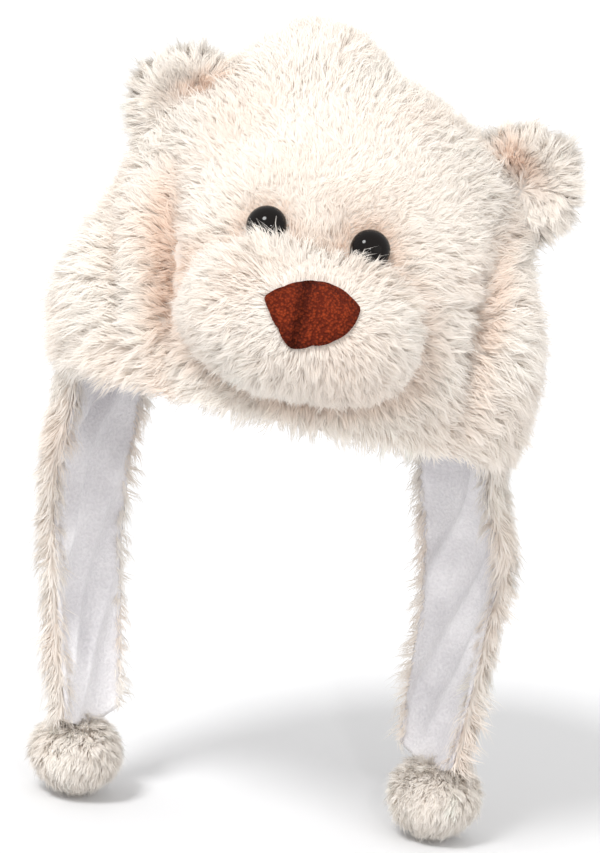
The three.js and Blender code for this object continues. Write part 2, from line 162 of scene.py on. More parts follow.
def bumpOn(shader, nodes, links, value, strength, depth):
    bump = nodes.new("ShaderNodeBump")
    bump.inputs["Strength"].default_value = strength
    bump.inputs["Distance"].default_value = depth
    links.new(value, bump.inputs["Height"])
    links.new(bump.outputs["Normal"], shader.inputs["Normal"])


plushFinish = {
    "surface": {"Roughness": 0.72, "Sheen Weight": 0.0, "Specular IOR Level": 0.0},
    "through": 0.5,  # share of the light that passes through a strand
    "strandRound": 1.15,  # how far each strand is shaded by itself, and not with the skin under it
}


def plushMaterial():
    material, shader, nodes, links = newMaterial("creamPlush", plushFinish["surface"])
    tint = attributeNode(nodes, "tint")
    links.new(tint.outputs["Color"], shader.inputs["Base Color"])
    own = nodes.new("ShaderNodeNewGeometry")
    blend = nodes.new("ShaderNodeVectorMath")
    blend.operation = "MULTIPLY_ADD"
    links.new(own.outputs["Normal"], blend.inputs[0])
    blend.inputs[1].default_value = (plushFinish["strandRound"],) * 3
    links.new(attributeNode(nodes, "skinNormal").outputs["Vector"], blend.inputs[2])
    even = nodes.new("ShaderNodeVectorMath")
    even.operation = "NORMALIZE"
    links.new(blend.outputs["Vector"], even.inputs[0])
    links.new(even.outputs["Vector"], shader.inputs["Normal"])
    through = nodes.new("ShaderNodeBsdfTranslucent")
    links.new(tint.outputs["Color"], through.inputs["Color"])
    both = nodes.new("ShaderNodeMixShader")
    both.inputs["Fac"].default_value = plushFinish["through"]
    links.new(shader.outputs["BSDF"], both.inputs[1])
    links.new(through.outputs["BSDF"], both.inputs[2])
    links.new(both.outputs["Shader"], nodes["Material Output"].inputs["Surface"])
    return material


fleeceFinish = {
    "surface": {"Roughness": 0.9, "Sheen Weight": 0.4, "Specular IOR Level": 0.2},
    "dark": (0.62, 0.60, 0.62), "light": (0.86, 0.84, 0.85),
    "stops": (0.35, 0.65),  # where the cloth is dark and where it is light
    "nap": 700, "napDetail": 4,  # loops of the nap for each metre
    "patches": 28, "patchDetail": 2, "patchShare": 1.5,  # slow light and dark over the cloth
    "level": 0.4,
    "bump": 0.6, "bumpDepth": 0.0012,
}


def fleeceMaterial():
    look = fleeceFinish
    material, shader, nodes, links = newMaterial("whiteFleece", look["surface"])
    place = nodes.new("ShaderNodeTexCoord").outputs["Object"]
    nap = noiseNode(nodes, links, place, look["nap"], look["napDetail"])
    patches = noiseNode(nodes, links, place, look["patches"], look["patchDetail"])
    both = mathNode(nodes, links, "MULTIPLY_ADD", patches, look["patchShare"], nap)
    level = mathNode(nodes, links, "MULTIPLY", both, look["level"])
    color = rampNode(nodes, links, level, look["stops"], (look["dark"], look["light"]))
    links.new(color, shader.inputs["Base Color"])
    bumpOn(shader, nodes, links, nap, look["bump"], look["bumpDepth"])
    return material


velourFinish = {
    "surface": {"Roughness": 0.85, "Specular IOR Level": 0.1},
    "dark": (0.10, 0.012, 0.004), "light": (0.27, 0.038, 0.010),
    "stops": (0.0, 0.46),
    "loops": 760, "loopDepth": -0.75,  # knitted loops for each metre, and how dark the painted shade in the gaps between them is
    "pile": 456, "pileDetail": 3,
    "bump": 1.0, "bumpDepth": 0.0016,
}


def velourMaterial():
    look = velourFinish
    material, shader, nodes, links = newMaterial("rustVelour", look["surface"])
    place = nodes.new("ShaderNodeTexCoord").outputs["Object"]
    loops = nodes.new("ShaderNodeTexVoronoi")
    loops.inputs["Scale"].default_value = look["loops"]
    links.new(place, loops.inputs["Vector"])
    pile = noiseNode(nodes, links, place, look["pile"], look["pileDetail"])
    level = mathNode(nodes, links, "MULTIPLY_ADD", loops.outputs["Distance"], look["loopDepth"], pile)
    paintedShade = nodes.new("ShaderNodeMix")  # painted shade: darker in the crease and at the edge where the fur hangs over, as painted on the mesh
    paintedShade.data_type = "RGBA"
    paintedShade.blend_type = "MULTIPLY"
    paintedShade.inputs["Factor"].default_value = 1.0
    links.new(rampNode(nodes, links, level, look["stops"], (look["dark"], look["light"])), paintedShade.inputs["A"])
    links.new(attributeNode(nodes, "tint").outputs["Color"], paintedShade.inputs["B"])
    links.new(paintedShade.outputs["Result"], shader.inputs["Base Color"])
    bumpOn(shader, nodes, links, level, look["bump"], look["bumpDepth"])
    return material


eyeFinish = {"Base Color": (0.006, 0.0045, 0.004, 1), "Roughness": 0.05, "Specular IOR Level": 0.14}

plushLook = plushMaterial()
fleeceLook = fleeceMaterial()
velourLook = velourMaterial()
eyeLook = newMaterial("glossBlack", eyeFinish)[0]


# New pieces from grids that are bent by a function of two shares

weld = {"merge": 2e-5, "tiny": 1e-6}  # in metres


def placeObject(name, data):
    obj = bpy.data.objects.new(name, data)
    bpy.context.scene.collection.objects.link(obj)
    return obj


def addPiece(name, shape, material, replacing):
    mesh = bpy.data.meshes.new(name)
    shape.to_mesh(mesh)
    shape.free()
    mesh.polygons.foreach_set("use_smooth", np.ones(len(mesh.polygons), bool))
    mesh.materials.append(material)
    obj = placeObject(name, mesh)
    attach(obj, "root")
    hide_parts(replacing)
    return obj


def gridPiece(name, pointAt, grid, material, replacing, turn=unturned):
    shape = bmesh.new()
    bmesh.ops.create_grid(shape, x_segments=grid[0], y_segments=grid[1], size=0.5)
    shape.verts.ensure_lookup_table()
    shares = np.array([vert.co for vert in shape.verts]) + 0.5
    points = pointAt(shares[:, 0], shares[:, 1]) @ turn.T * metre
    for vert, point in zip(shape.verts, points):
        vert.co = point
    bmesh.ops.remove_doubles(shape, verts=shape.verts, dist=weld["merge"])
    bmesh.ops.dissolve_degenerate(shape, edges=shape.edges, dist=weld["tiny"])
    bmesh.ops.recalc_face_normals(shape, faces=shape.faces)
    return addPiece(name, shape, material, replacing)


# Colors is one row of red, green and blue for each vertex
def paint(mesh, colors):
    tint = mesh.color_attributes.new("tint", "FLOAT_COLOR", "POINT")
    full = np.concatenate([colors, np.ones((len(colors), 1))], -1)
    tint.data.foreach_set("color", full.reshape(-1).astype(np.float32))


def paintPlain(obj):
    paint(obj.data, np.tile(furColors["root"], (len(obj.data.vertices), 1)))


# Fur

furColors = {
    # root, middle and tip colours; the root is a little darker and warmer, as painted shade deep in the pile
    "root": (0.975, 0.92, 0.865),
    "middle": (0.978, 0.935, 0.88),
    "tip": (0.98, 0.945, 0.90),
    "fold": (0.97, 0.75, 0.60),  # peach, used as painted warm shade in the folds, round the muzzle and eyes and in the ears' hollows, and as a faint tint elsewhere
    "middleBy": 0.5,  # where along a strand the colours change, from 0 at the root
    "tipFrom": 0.35, "tipBy": 0.9,
    "foldRoot": 0.85, "foldFade": 0.45,  # how dark the peach is painted at the root, as shade deep in the pile, and how far it fades at the tip
    "shadeSpread": 0.02,  # how far the locks' colours differ
}
furShape = {
    "lockSize": 2.3,  # mm between the middles of the small locks
    "tuftSize": 8,  # and of the tufts that the locks gather in
    "lockPull": 0.52,  # how far a strand's tip is drawn to its lock
    "tuftPull": 0.2,
    "fullPull": 10, "leastPull": 0.3, "pullPower": 1.5, "pullCurve": 1.3,  # short pile is drawn less
    "wave": 0.14, "waveCounts": (0.6, 1.3),  # sideways wave of a lock, as a share of its length
    "lean": 1.0, "leanSpread": 0.1, "leanDrift": 16,  # how flat the strands lie, from 0 upright
    "leastLean": 0.7, "mostLean": 1.25,
    "leanCurve": 1.25, "rise": 0.95,
    "width": 0.4,  # of a strand at its root, in mm
    "widthRange": (0.75, 1.25), "stepWidths": (1.0, 0.85),  # of the strands, and of the root and the middle
    "waver": 0.32,  # how far the locks' directions differ, and what each part adds to that
    "waverDrift": 22, "driftWaver": 0.9, "tuftWaver": 0.8, "lockWaver": 0.45,
    "lockSpread": 0.13, "lockRange": (0.6, 1.35),  # lengths of the locks, and of the strands in a lock
    "strandSpread": 0.12, "strandRange": (0.55, 1.3),
    "frizz": 0.09, "twist": 0.5, "droop": 0.12,
    "middleStep": 0.55,  # how far along a strand its middle stands
    "shadeAlong": 0.2,
}


# Random places on a surface, spread evenly over its area
def scatter(pointAt, uSpan, vSpan, keep, count, rng, cells=(120, 90)):
    u = np.linspace(*uSpan, cells[0] + 1)
    v = np.linspace(*vSpan, cells[1] + 1)
    uu, vv = np.meshgrid(u, v, indexing="ij")
    corners = pointAt(uu.ravel(), vv.ravel()).reshape(*uu.shape, 3)
    sides = np.cross(corners[1:, 1:] - corners[:-1, :-1], corners[1:, :-1] - corners[:-1, 1:])
    area = np.linalg.norm(sides, axis=-1).ravel() / 2
    chances = np.cumsum(area) / area.sum()
    picked = np.minimum(np.searchsorted(chances, rng.uniform(size=count * 2)), area.size - 1)
    row, column = np.divmod(picked, cells[1])
    us = u[row] + rng.uniform(size=picked.size) * (u[1] - u[0])
    vs = v[column] + rng.uniform(size=picked.size) * (v[1] - v[0])
    points = pointAt(us, vs)
    kept = rng.uniform(size=picked.size) < keep(points)
    return us[kept][:count], vs[kept][:count], points[kept][:count], area.sum()


def outwardOf(pointAt, us, vs, points, middle, step=1e-3):
    alongU = pointAt(us + step, vs) - pointAt(us - step, vs)
    alongV = pointAt(us, vs + step) - pointAt(us, vs - step)
    outward = unit(np.cross(alongU, alongV))
    if np.mean(np.sum(outward * (points - middle), -1)) < 0:
        outward = -outward
    return outward


def nearestOf(points, places):
    tree = KDTree(len(places))
    for n, place in enumerate(places):
        tree.insert(place, n)
    tree.balance()
    return np.array([tree.find(point)[1] for point in points])


def spread(rng, count, share, lowest, highest):
    return np.clip(1 + share * rng.normal(size=count), lowest, highest)


# Grows strands of two steps over a surface. comb, reach, peach and keep are functions of points, and fur
# holds the number of strands, the seed and whatever differs from furShape.
def growFur(name, pointAt, uSpan, vSpan, middle, comb, reach, peach, keep, fur, turn=unturned):
    fur = {**furShape, **fur}
    seed = fur["seed"]
    rng = np.random.default_rng(seed)
    us, vs, roots, area = scatter(pointAt, uSpan, vSpan, keep, fur["strands"], rng)
    outward = outwardOf(pointAt, us, vs, roots, middle)
    total = len(roots)
    locks, tufts = (min(max(3, int(area / fur[size] ** 2)), total) for size in ("lockSize", "tuftSize"))
    lockSeeds = rng.choice(total, locks, replace=False)
    tuftSeeds = rng.choice(total, tufts, replace=False)
    n = nearestOf(roots, roots[lockSeeds])
    tuftOf = nearestOf(roots[lockSeeds], roots[tuftSeeds])
    lockMiddle, lockOut = roots[lockSeeds], outward[lockSeeds]
    tuftMiddle = roots[tuftSeeds][tuftOf]

    wanted = comb(lockMiddle)
    along = unit(wanted - lockOut * np.sum(wanted * lockOut, -1, keepdims=True))
    side = np.cross(lockOut, along)
    swing = fur["waver"] * (
        fur["driftWaver"] * drift(lockMiddle, fur["waverDrift"], seed + 1)
        + fur["tuftWaver"] * rng.normal(size=tufts)[tuftOf]
        + fur["lockWaver"] * rng.normal(size=locks)
    )[:, None]
    along = unit(along * np.cos(swing) + side * np.sin(swing))
    side = np.cross(lockOut, along)
    tilt = fur["lean"] + fur["leanSpread"] * rng.normal(size=locks)
    tilt += fur["leanSpread"] * drift(lockMiddle, fur["leanDrift"], seed + 2)
    tilt = np.clip(tilt, fur["leastLean"] * fur["lean"], fur["mostLean"])
    lockReach = reach(lockMiddle) * spread(rng, locks, fur["lockSpread"], *fur["lockRange"])
    waveCounts = rng.uniform(*fur["waveCounts"], locks)
    phase = rng.uniform(0, whole, locks)
    shade = 1 + furColors["shadeSpread"] * rng.normal(size=locks)

    strandReach = (lockReach[n] * spread(rng, total, fur["strandSpread"], *fur["strandRange"]))[:, None]
    frizz = rng.normal(size=(total, 3)) * fur["frizz"]
    bend = tilt[n][:, None]
    tuftPull = fur["tuftPull"] * fur["lockPull"] / furShape["lockPull"]
    shortness = np.clip(strandReach / fur["fullPull"], fur["leastPull"], 1) ** fur["pullPower"]
    spine = []
    for t in (0, fur["middleStep"], 1.0):
        drawn = t ** fur["pullCurve"]
        rise = fur["rise"] * math.sin(t * math.pi / 2) * np.cos(bend) + (1 - fur["rise"]) * t
        up = outward * (strandReach * rise)
        forward = along[n] * (strandReach * np.sin(bend) * t ** fur["leanCurve"])
        swung = np.sin(phase[n] + whole * waveCounts[n] * t)[:, None]
        sway = side[n] * (strandReach * fur["wave"] * t * swung)
        fall = down * (strandReach * fur["droop"] * t * t)
        gather = (lockMiddle[n] - roots) * (fur["lockPull"] * shortness * drawn)
        tuft = (tuftMiddle[n] - lockMiddle[n]) * tuftPull * drawn
        spine.append(roots + up + forward + sway + fall + gather + tuft + frizz * strandReach * t)
    spine = np.stack(spine, 1)

    tangent = unit(np.concatenate([spine[:, 1:] - spine[:, :-1], spine[:, -1:] - spine[:, -2:-1]], 1))
    flat = unit(np.cross(tangent, outward[:, None, :]) + 1e-6)
    twist = rng.uniform(-fur["twist"], fur["twist"], (total, 1, 1))
    flat = unit(flat * np.cos(twist) + np.cross(tangent, flat) * np.sin(twist))
    widths = np.array(fur["stepWidths"])[None, :, None] * fur["width"] / 2
    widths = widths * rng.uniform(*fur["widthRange"], (total, 1, 1))
    left = spine[:, :2] + flat[:, :2] * widths
    right = spine[:, :2] - flat[:, :2] * widths
    skin = unit(outward[:, None, :] + fur["shadeAlong"] * tangent)

    points = np.concatenate([left, right, spine[:, 2:]], 1)
    skin = np.concatenate([skin[:, :2], skin[:, :2], skin[:, 2:]], 1)
    order = np.array([[0, 2, 3], [0, 3, 1], [1, 3, 4]])
    first = points[:, order[0]]
    turned = np.sum(np.cross(first[:, 1] - first[:, 0], first[:, 2] - first[:, 0]) * outward, -1) < 0
    faces = np.where(turned[:, None, None], order[None, :, ::-1], order[None])
    faces = faces + points.shape[1] * np.arange(total)[:, None, None]
    colors = strandColors(np.clip(peach(roots), 0, 1), shade[n], fur["middleStep"])
    furPiece(name, points @ turn.T * metre, skin @ turn.T, faces, colors)


# The colours of each strand's five vertices: two at the root, two at the middle and the tip
def strandColors(heat, shade, middleStep):
    look = furColors
    ages = np.array([0, middleStep, 0, middleStep, 1.0])[None, :, None]
    low = mix(np.array(look["root"]), np.array(look["middle"]), smooth(0, look["middleBy"], ages))
    color = mix(low, np.array(look["tip"]), smooth(look["tipFrom"], look["tipBy"], ages))
    # peach mixed in by heat, which holds painted shade in creases and hollows, and painted darker toward the
    # root as shade deep in the pile
    fold = np.array(look["fold"]) * mix(look["foldRoot"], 1, ages)
    color = mix(color, fold, heat[:, None, None] * (1 - look["foldFade"] * ages))
    return np.clip(color * shade[:, None, None], 0, 1)


def furPiece(name, points, skin, faces, colors):
    mesh = bpy.data.meshes.new(name)
    corners = faces.reshape(-1)
    count = len(corners) // 3
    mesh.vertices.add(points.shape[0] * points.shape[1])
    mesh.vertices.foreach_set("co", points.reshape(-1).astype(np.float32))
    mesh.loops.add(len(corners))
    mesh.loops.foreach_set("vertex_index", corners.astype(np.int32))
    mesh.polygons.add(count)
    mesh.polygons.foreach_set("loop_start", np.arange(0, len(corners), 3, dtype=np.int32))
    mesh.polygons.foreach_set("use_smooth", np.ones(count, bool))
    mesh.update(calc_edges=True)
    paint(mesh, colors.reshape(-1, 3))
    attribute = mesh.attributes.new("skinNormal", "FLOAT_VECTOR", "POINT")
    attribute.data.foreach_set("vector", skin.reshape(-1).astype(np.float32))
    mesh.materials.append(plushLook)
    obj = placeObject(name, mesh)
    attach(obj, "root")
    print(f"{name}: {count} triangles")


# Crown

crownSizes = {
    "width": 198, "depth": 176, "height": 149, "fullness": 2.15,
    "lining": 2.5, "gap": 0.3, "plush": 8,
    "roll": 6, "pitch": 6,
    "sunk": 2.5,  # how far the drawn backing lies under the CAD skin
    "rimShare": 0.1, "rimDrop": 0.6,  # the last part of the skin rolls under the rim
    "outerShare": 0.7,  # the part of the grid that makes the outer skin
    "grid": (144, 60), "liningGrid": (96, 41),
}
crownForms = [  # across, up, wide, tall, lean and swell, as shares of the hollow and the wall
    (-1.02, 0.22, 0.22, 0.26, 0, 1.1),
    (1.02, 0.30, 0.18, 0.30, 0, 0.9),
    (-0.66, 0.36, 0.08, 0.30, -18, -1.5),
    (-0.88, 0.30, 0.06, 0.20, -25, -1.2),
    (0.80, 0.40, 0.07, 0.26, 0, -1.2),
    (-0.31, 0.58, 0.14, 0.09, 0, -0.3),
    (0.21, 0.58, 0.14, 0.09, 0, -0.3),
    (-0.05, 0.74, 0.40, 0.08, 0, 0.25),
]
formsFrom = (-0.25, 0.4)  # the forms fade in from the side to the front
topKnot = {"height": 18, "width": 58, "shift": -22, "from": (0.5, 0.8)}

crownTurn = turnAbout("y", crownSizes["roll"]) @ turnAbout("x", -crownSizes["pitch"])
plushInside = crownSizes["lining"] + crownSizes["gap"]
plushOutside = plushInside + crownSizes["plush"]
halfWidth, halfDepth = crownSizes["width"] / 2, crownSizes["depth"] / 2
outerWidth, outerDepth = halfWidth + plushOutside, halfDepth + plushOutside
crownHeight, fullness = crownSizes["height"], crownSizes["fullness"]
outerHeight = crownHeight + plushOutside
crownMiddle = np.array([0, 0, -crownHeight])


def domePoint(turn, rise, out):
    power = 2 / fullness
    lift = np.maximum(np.sin(rise * math.pi / 2), 0) ** power
    level = np.maximum(np.cos(rise * math.pi / 2), 0) ** power
    return np.stack([
        (halfWidth + out) * level * np.sin(turn),
        -(halfDepth + out) * level * np.cos(turn),
        -crownHeight + (crownHeight + out) * lift,
    ], -1)


def skinSwell(points):
    x, y, z = points[..., 0], points[..., 1], points[..., 2]
    front = smooth(*formsFrom, -y / halfDepth)
    swell = np.zeros(x.shape)
    for across, height, wide, tall, lean, share in crownForms:
        c, s = math.cos(math.radians(lean)), math.sin(math.radians(lean))
        dx = x / halfWidth - across
        dz = (z + crownHeight) / crownHeight - height
        side, rise = dx * c - dz * s, dx * s + dz * c
        swell += front * share * crownSizes["plush"] * np.exp(-(side / wide) ** 2 - (rise / tall) ** 2)
    knot = np.hypot(x - topKnot["shift"], y) / (topKnot["width"] / 2)
    return swell + smooth(*topKnot["from"], 1 + z / crownHeight) * topKnot["height"] * np.exp(-knot ** 3)


def plushPoint(turn, rise, extra=0.0):
    plain = domePoint(turn, rise, plushOutside)
    return domePoint(turn, rise, plushOutside + skinSwell(plain) + extra)


def outsideCrown(points):
    x, y, z = points[..., 0], points[..., 1], points[..., 2]
    across = np.hypot(x / outerWidth, y / outerDepth)
    height = np.maximum(0, z + crownHeight) / outerHeight
    level = (across ** fullness + height ** fullness) ** (1 / fullness)
    return (level - 1) * outerWidth - skinSwell(points)


def facePoint(across, height):
    rise = height / outerHeight
    level = (1 - rise ** fullness) ** (1 / fullness)
    turn = math.asin(across / (outerWidth * level))
    angle = math.asin(rise ** (fullness / 2)) * 2 / math.pi
    return plushPoint(np.array([turn]), np.array([angle]))[0]


def crownSkin(u, v):
    turn = u * whole
    sunk, rolled = -crownSizes["sunk"], crownSizes["rimShare"]
    outer = plushPoint(turn, np.clip(1 - v / (1 - rolled), 0, 1), sunk)
    under = np.clip((v - (1 - rolled)) / rolled, 0, 1) * math.pi
    half = (plushOutside + sunk - plushInside) / 2
    roll = domePoint(turn, np.zeros_like(turn), plushInside + half + half * np.cos(under))
    roll[..., 2] -= crownSizes["rimDrop"] * half * np.sin(under)
    return np.where((v > 1 - rolled)[..., None], roll, outer)


def crownShell(u, v):
    share = crownSizes["outerShare"]
    inner = domePoint(u * whole, np.clip((v - share) / (1 - share), 0, 1), plushInside)
    return np.where((v > share)[..., None], inner, crownSkin(u, np.minimum(v / share, 1)))


def liningShell(u, v):
    turn = u * whole
    outer = domePoint(turn, np.clip(1 - 2 * v, 0, 1), crownSizes["lining"])
    inner = domePoint(turn, np.clip(2 * v - 1, 0, 1), 0.0)
    return np.where((v > 0.5)[..., None], inner, outer)


paintPlain(gridPiece("crownBacking", crownShell, crownSizes["grid"], plushLook, "crown_plush",
                     crownTurn))
gridPiece("crownLining", liningShell, crownSizes["liningGrid"], fleeceLook, "crown_lining",
          crownTurn)
print("crown shells made")

# Places on the face

muzzleSizes = {
    "width": 106, "height": 62, "length": 90, "rise": 43, "shift": -2, "fullness": 2.2, "standOut": 42,
    "sunk": 2.5, "inCrown": 5.0, "grid": (96, 48),
}
noseSizes = {
    "rise": 51, "shift": 1, "margin": 1.02, "puff": 0.4, "sunk": 4.0, "edge": 0.6, "roundness": 0.8,
    "creaseShift": -5, "creaseDepth": 2.0, "creaseWidth": 1.6, "grid": (96, 40),
    # painted shade: how dark the crease and the edge under the fur are, how wide the crease's shade spreads
    # and where the edge's starts
    "creaseDark": 0.5, "creaseSpread": 2.2, "edgeDark": 0.3, "edgeFrom": 0.72,
}
eyeSizes = {
    "diameter": 18.5, "dome": 7, "spacing": 47.2, "rise": 82.3, "shift": -3.1,
    "gaze": (0.9, 0.35), "proud": 0.45, "segments": (48, 24),
}
earSizes = {
    "diameter": 50, "thickness": 16, "dish": 4,
    "spacing": 161, "rise": 124, "shift": 5, "forward": 8, "turn": 12,
    "sunk": 2.0, "inCrown": 5.0, "grid": (48, 32),
}

faceFront = -outerDepth - muzzleSizes["standOut"]
noseSeat = np.array([noseSizes["shift"], faceFront, noseSizes["rise"] - crownHeight])
muzzleMiddle = np.array([
    muzzleSizes["shift"], faceFront + muzzleSizes["length"] / 2, muzzleSizes["rise"] - crownHeight,
])
muzzleHalf = np.array([muzzleSizes["width"], muzzleSizes["length"], muzzleSizes["height"]]) / 2
eyeSeats = {side: facePoint(eyeSizes["shift"] + side * eyeSizes["spacing"] / 2, eyeSizes["rise"])
            for side in (1, -1)}
earMiddles = {side: np.array([earSizes["shift"] + side * earSizes["spacing"] / 2, -earSizes["forward"],
                              earSizes["rise"] - crownHeight])
              for side in (1, -1)}


def muzzleLevel(points, margin=0.0):
    shares = np.abs(points - muzzleMiddle) / (muzzleHalf + margin)
    return np.sum(shares ** muzzleSizes["fullness"], -1)


def nearest(points, places):
    return np.min([np.linalg.norm(points - place, axis=-1) for place in places.values()], 0)


# The crown's fur, in four pieces. Lengths are in mm, and each "to" pair says where a zone starts and ends.

crownPile = {
    "length": 10.0, "forehead": -6.0, "rim": -3.0, "cheek": 3.0, "besideEar": 5.5,
    "frontTo": (0.2, 0.7), "foreheadTo": (0.5, 0.7), "foreheadWide": (-1.1, -0.4), "rimTo": (0.16, 0.02),
    "cheekWide": (0.6, 0.95), "cheekTo": (0.65, 0.4), "earTo": (0.95, 0.55),
    "eyeTo": (0.5, 1.2), "underEye": 0.8, "underEyeTo": (0.0, -4.0), "byEye": 0.45,
    "lengthDrift": (0.1, 30, 5),
    "hangTo": (0.1, -0.5), "hang": 0.2,
    "bareInMuzzle": -4, "bareAroundEye": 0.5,
    "along": (0.0, 0.93),  # from the top to near the rim
}
# Peach on the crown's fur: painted shade in the creases, beside the muzzle and round the eyes, on a faint
# even tint that also differs at random
crownPeach = {
    "all": 0.05, "creases": 0.6, "mostInCrease": 0.7, "besideMuzzle": 0.4, "muzzleTo": (1.9, 1.05),
    "besideEye": 0.5, "eyeTo": (1.0, 0.5), "drift": (0.12, 25, 9),
}
crownFur = [  # name, from and to as shares of a turn from the front, strands, seed
    ("crownFurFront", -0.18, 0.18, 62000, 100),
    ("crownFurLeft", 0.18, 0.39, 33000, 110),
    ("crownFurRight", -0.39, -0.18, 33000, 120),
    ("crownFurBack", 0.39, 0.61, 26000, 130),
]


def crownComb(points):
    away = unit(points - noseSeat)
    hang = smooth(*crownPile["hangTo"], -points[..., 1] / halfDepth)[..., None]
    return away * (1 - hang) + down * (hang + crownPile["hang"])


def zone(pile, key, value, size=1):
    low, high = pile[key]
    return smooth(size * low, size * high, value)


def crownReach(points):
    pile = crownPile
    height = 1 + points[..., 2] / crownHeight
    across = np.abs(points[..., 0]) / halfWidth
    forehead = zone(pile, "frontTo", -points[..., 1] / halfDepth) * zone(pile, "foreheadTo", height)
    forehead = forehead * zone(pile, "foreheadWide", -across)
    eye = zone(pile, "eyeTo", nearest(points, eyeSeats), eyeSizes["diameter"])
    under = zone(pile, "underEyeTo", points[..., 2] + crownHeight - eyeSizes["rise"])
    eye = np.maximum(eye, pile["underEye"] * under)
    cheek = zone(pile, "cheekWide", across) * zone(pile, "cheekTo", height)
    length = pile["length"] + pile["forehead"] * forehead + pile["rim"] * zone(pile, "rimTo", height)
    length = length + pile["cheek"] * cheek
    beside = zone(pile, "earTo", nearest(points, earMiddles), earSizes["diameter"])
    length = length + pile["besideEar"] * beside
    return length * mix(pile["byEye"], 1, eye) * (1 + uneven(points, pile["lengthDrift"]))


# painted shade in the creases, beside the muzzle and round the eyes, on a faint tint that differs at random
def crownHeat(points):
    peach = crownPeach
    creases = np.clip(-skinSwell(points) / crownSizes["plush"] * peach["creases"], 0, peach["mostInCrease"])
    muzzle = peach["besideMuzzle"] * zone(peach, "muzzleTo", muzzleLevel(points))
    eye = peach["besideEye"] * zone(peach, "eyeTo", nearest(points, eyeSeats), eyeSizes["diameter"])
    return peach["all"] + creases + muzzle + eye + uneven(points, peach["drift"])


def crownKeep(points):
    bare = muzzleLevel(points, crownPile["bareInMuzzle"]) < 1
    bare = bare | (nearest(points, eyeSeats) < eyeSizes["diameter"] * crownPile["bareAroundEye"])
    return np.where(bare, 0.0, 1.0)


for name, start, end, strands, seed in crownFur:
    growFur(name, crownSkin, (start, end), crownPile["along"], crownMiddle, crownComb, crownReach, crownHeat,
            crownKeep, {"strands": strands, "seed": seed}, crownTurn)


# Muzzle

muzzlePile = {
    "length": 4.5, "awayFromNose": 3.5, "onTop": 7.0,
    "noseTo": (1.1, 1.8), "topTo": (0.2, 0.8), "lowTo": (0, 10), "low": 0.75, "lengthDrift": (0.1, 20, 15),
    # painted shade where the muzzle meets the face, on a faint tint that differs at random
    "peach": 0.1, "peachLow": 0.55, "peachTo": (12, 0), "peachDrift": (0.12, 22, 19),
    "rise": -4.0, "bareInNose": 0.99, "bareInCrown": 1.0, "behindNose": 10.0,
    "along": (0.02, 0.75),  # from the front backwards
    "fur": {"strands": 38000, "seed": 200, "droop": 0.08, "waver": 0.2},
}


def muzzleSkin(u, v):
    power = 2 / muzzleSizes["fullness"]
    turn, tilt = u * whole, v * math.pi
    ring = np.abs(np.sin(tilt)) ** power
    half = muzzleHalf - muzzleSizes["sunk"]
    return muzzleMiddle + np.stack([
        half[0] * ring * signedPower(np.cos(turn), power),
        -half[1] * signedPower(np.cos(tilt), power),
        half[2] * ring * signedPower(np.sin(turn), power),
    ], -1)


# Points behind the crown's skin are brought forward on it
def broughtForward(points, sunk):
    x, y, z = points[..., 0], points[..., 1].copy(), points[..., 2]
    for _ in range(4):
        target = 1 + (skinSwell(np.stack([x, y, z], -1)) - sunk) / outerWidth
        height = np.maximum(0, z + crownHeight) / outerHeight
        across = np.maximum(target ** fullness - height ** fullness, 0.01) ** (1 / fullness)
        front = -outerDepth * np.sqrt(np.maximum(across ** 2 - (x / outerWidth) ** 2, 0.0))
        y = np.minimum(points[..., 1], front)
    return np.stack([x, y, z], -1)


def muzzleBody(u, v):
    return broughtForward(muzzleSkin(u, v), muzzleSizes["inCrown"])


noseCorners = np.array([  # across and up in mm from the seat, from the wearer's right round over the top
    (-21.7, 3.3), (-14.3, 9.4), (-7.8, 12.8), (-0.9, 14.4), (6.5, 14.2), (14.5, 11.2), (19.7, 7.5),
    (17.5, -1.8), (11.6, -8.0), (2.8, -12.0), (-5.7, -15.4), (-12.7, -8.3), (-18.0, -2.2),
])
cornerAngles = np.arctan2(noseCorners[:, 1], noseCorners[:, 0])
cornerOrder = np.argsort(cornerAngles)


def noseRadius(angle):
    wrapped = (angle + math.pi) % whole - math.pi
    return np.interp(wrapped, cornerAngles[cornerOrder], np.hypot(*noseCorners[cornerOrder].T), period=whole)


# 1 on the nose's edge, less inside it
def noseLevel(points):
    x, z = points[..., 0] - noseSeat[0], points[..., 2] - noseSeat[2]
    behind = points[..., 1] > muzzleMiddle[1] - muzzlePile["behindNose"]
    return np.hypot(x, z) / noseRadius(np.arctan2(z, x)) + muzzlePile["behindNose"] * behind


def muzzleComb(points):
    return points - noseSeat + np.array([0, 0, muzzlePile["rise"]])


def muzzleReach(points):
    pile = muzzlePile
    nose = zone(pile, "noseTo", noseLevel(points))
    low = zone(pile, "lowTo", outsideCrown(points))
    top = zone(pile, "topTo", (points[..., 2] - muzzleMiddle[2]) / muzzleHalf[2])
    length = pile["length"] + pile["awayFromNose"] * nose + pile["onTop"] * nose * top
    return length * mix(pile["low"], 1, low) * (1 + uneven(points, pile["lengthDrift"]))


# painted shade where the muzzle meets the face, on a faint tint that differs at random
def muzzleHeat(points):
    low = muzzlePile["peachLow"] * zone(muzzlePile, "peachTo", outsideCrown(points))
    return muzzlePile["peach"] + low + uneven(points, muzzlePile["peachDrift"])


def muzzleKeep(points):
    bare = (noseLevel(points) < muzzlePile["bareInNose"]) | (outsideCrown(points) < muzzlePile["bareInCrown"])
    return np.where(bare, 0.0, 1.0)


muzzlePad = gridPiece("muzzlePad", muzzleBody, muzzleSizes["grid"], plushLook, "muzzle",
                      crownTurn)
paintPlain(muzzlePad)
growFur("muzzleFur", muzzleSkin, (0, 1), muzzlePile["along"], muzzleMiddle, muzzleComb, muzzleReach,
        muzzleHeat, muzzleKeep, muzzlePile["fur"], crownTurn)
print("muzzle made")


# Nose

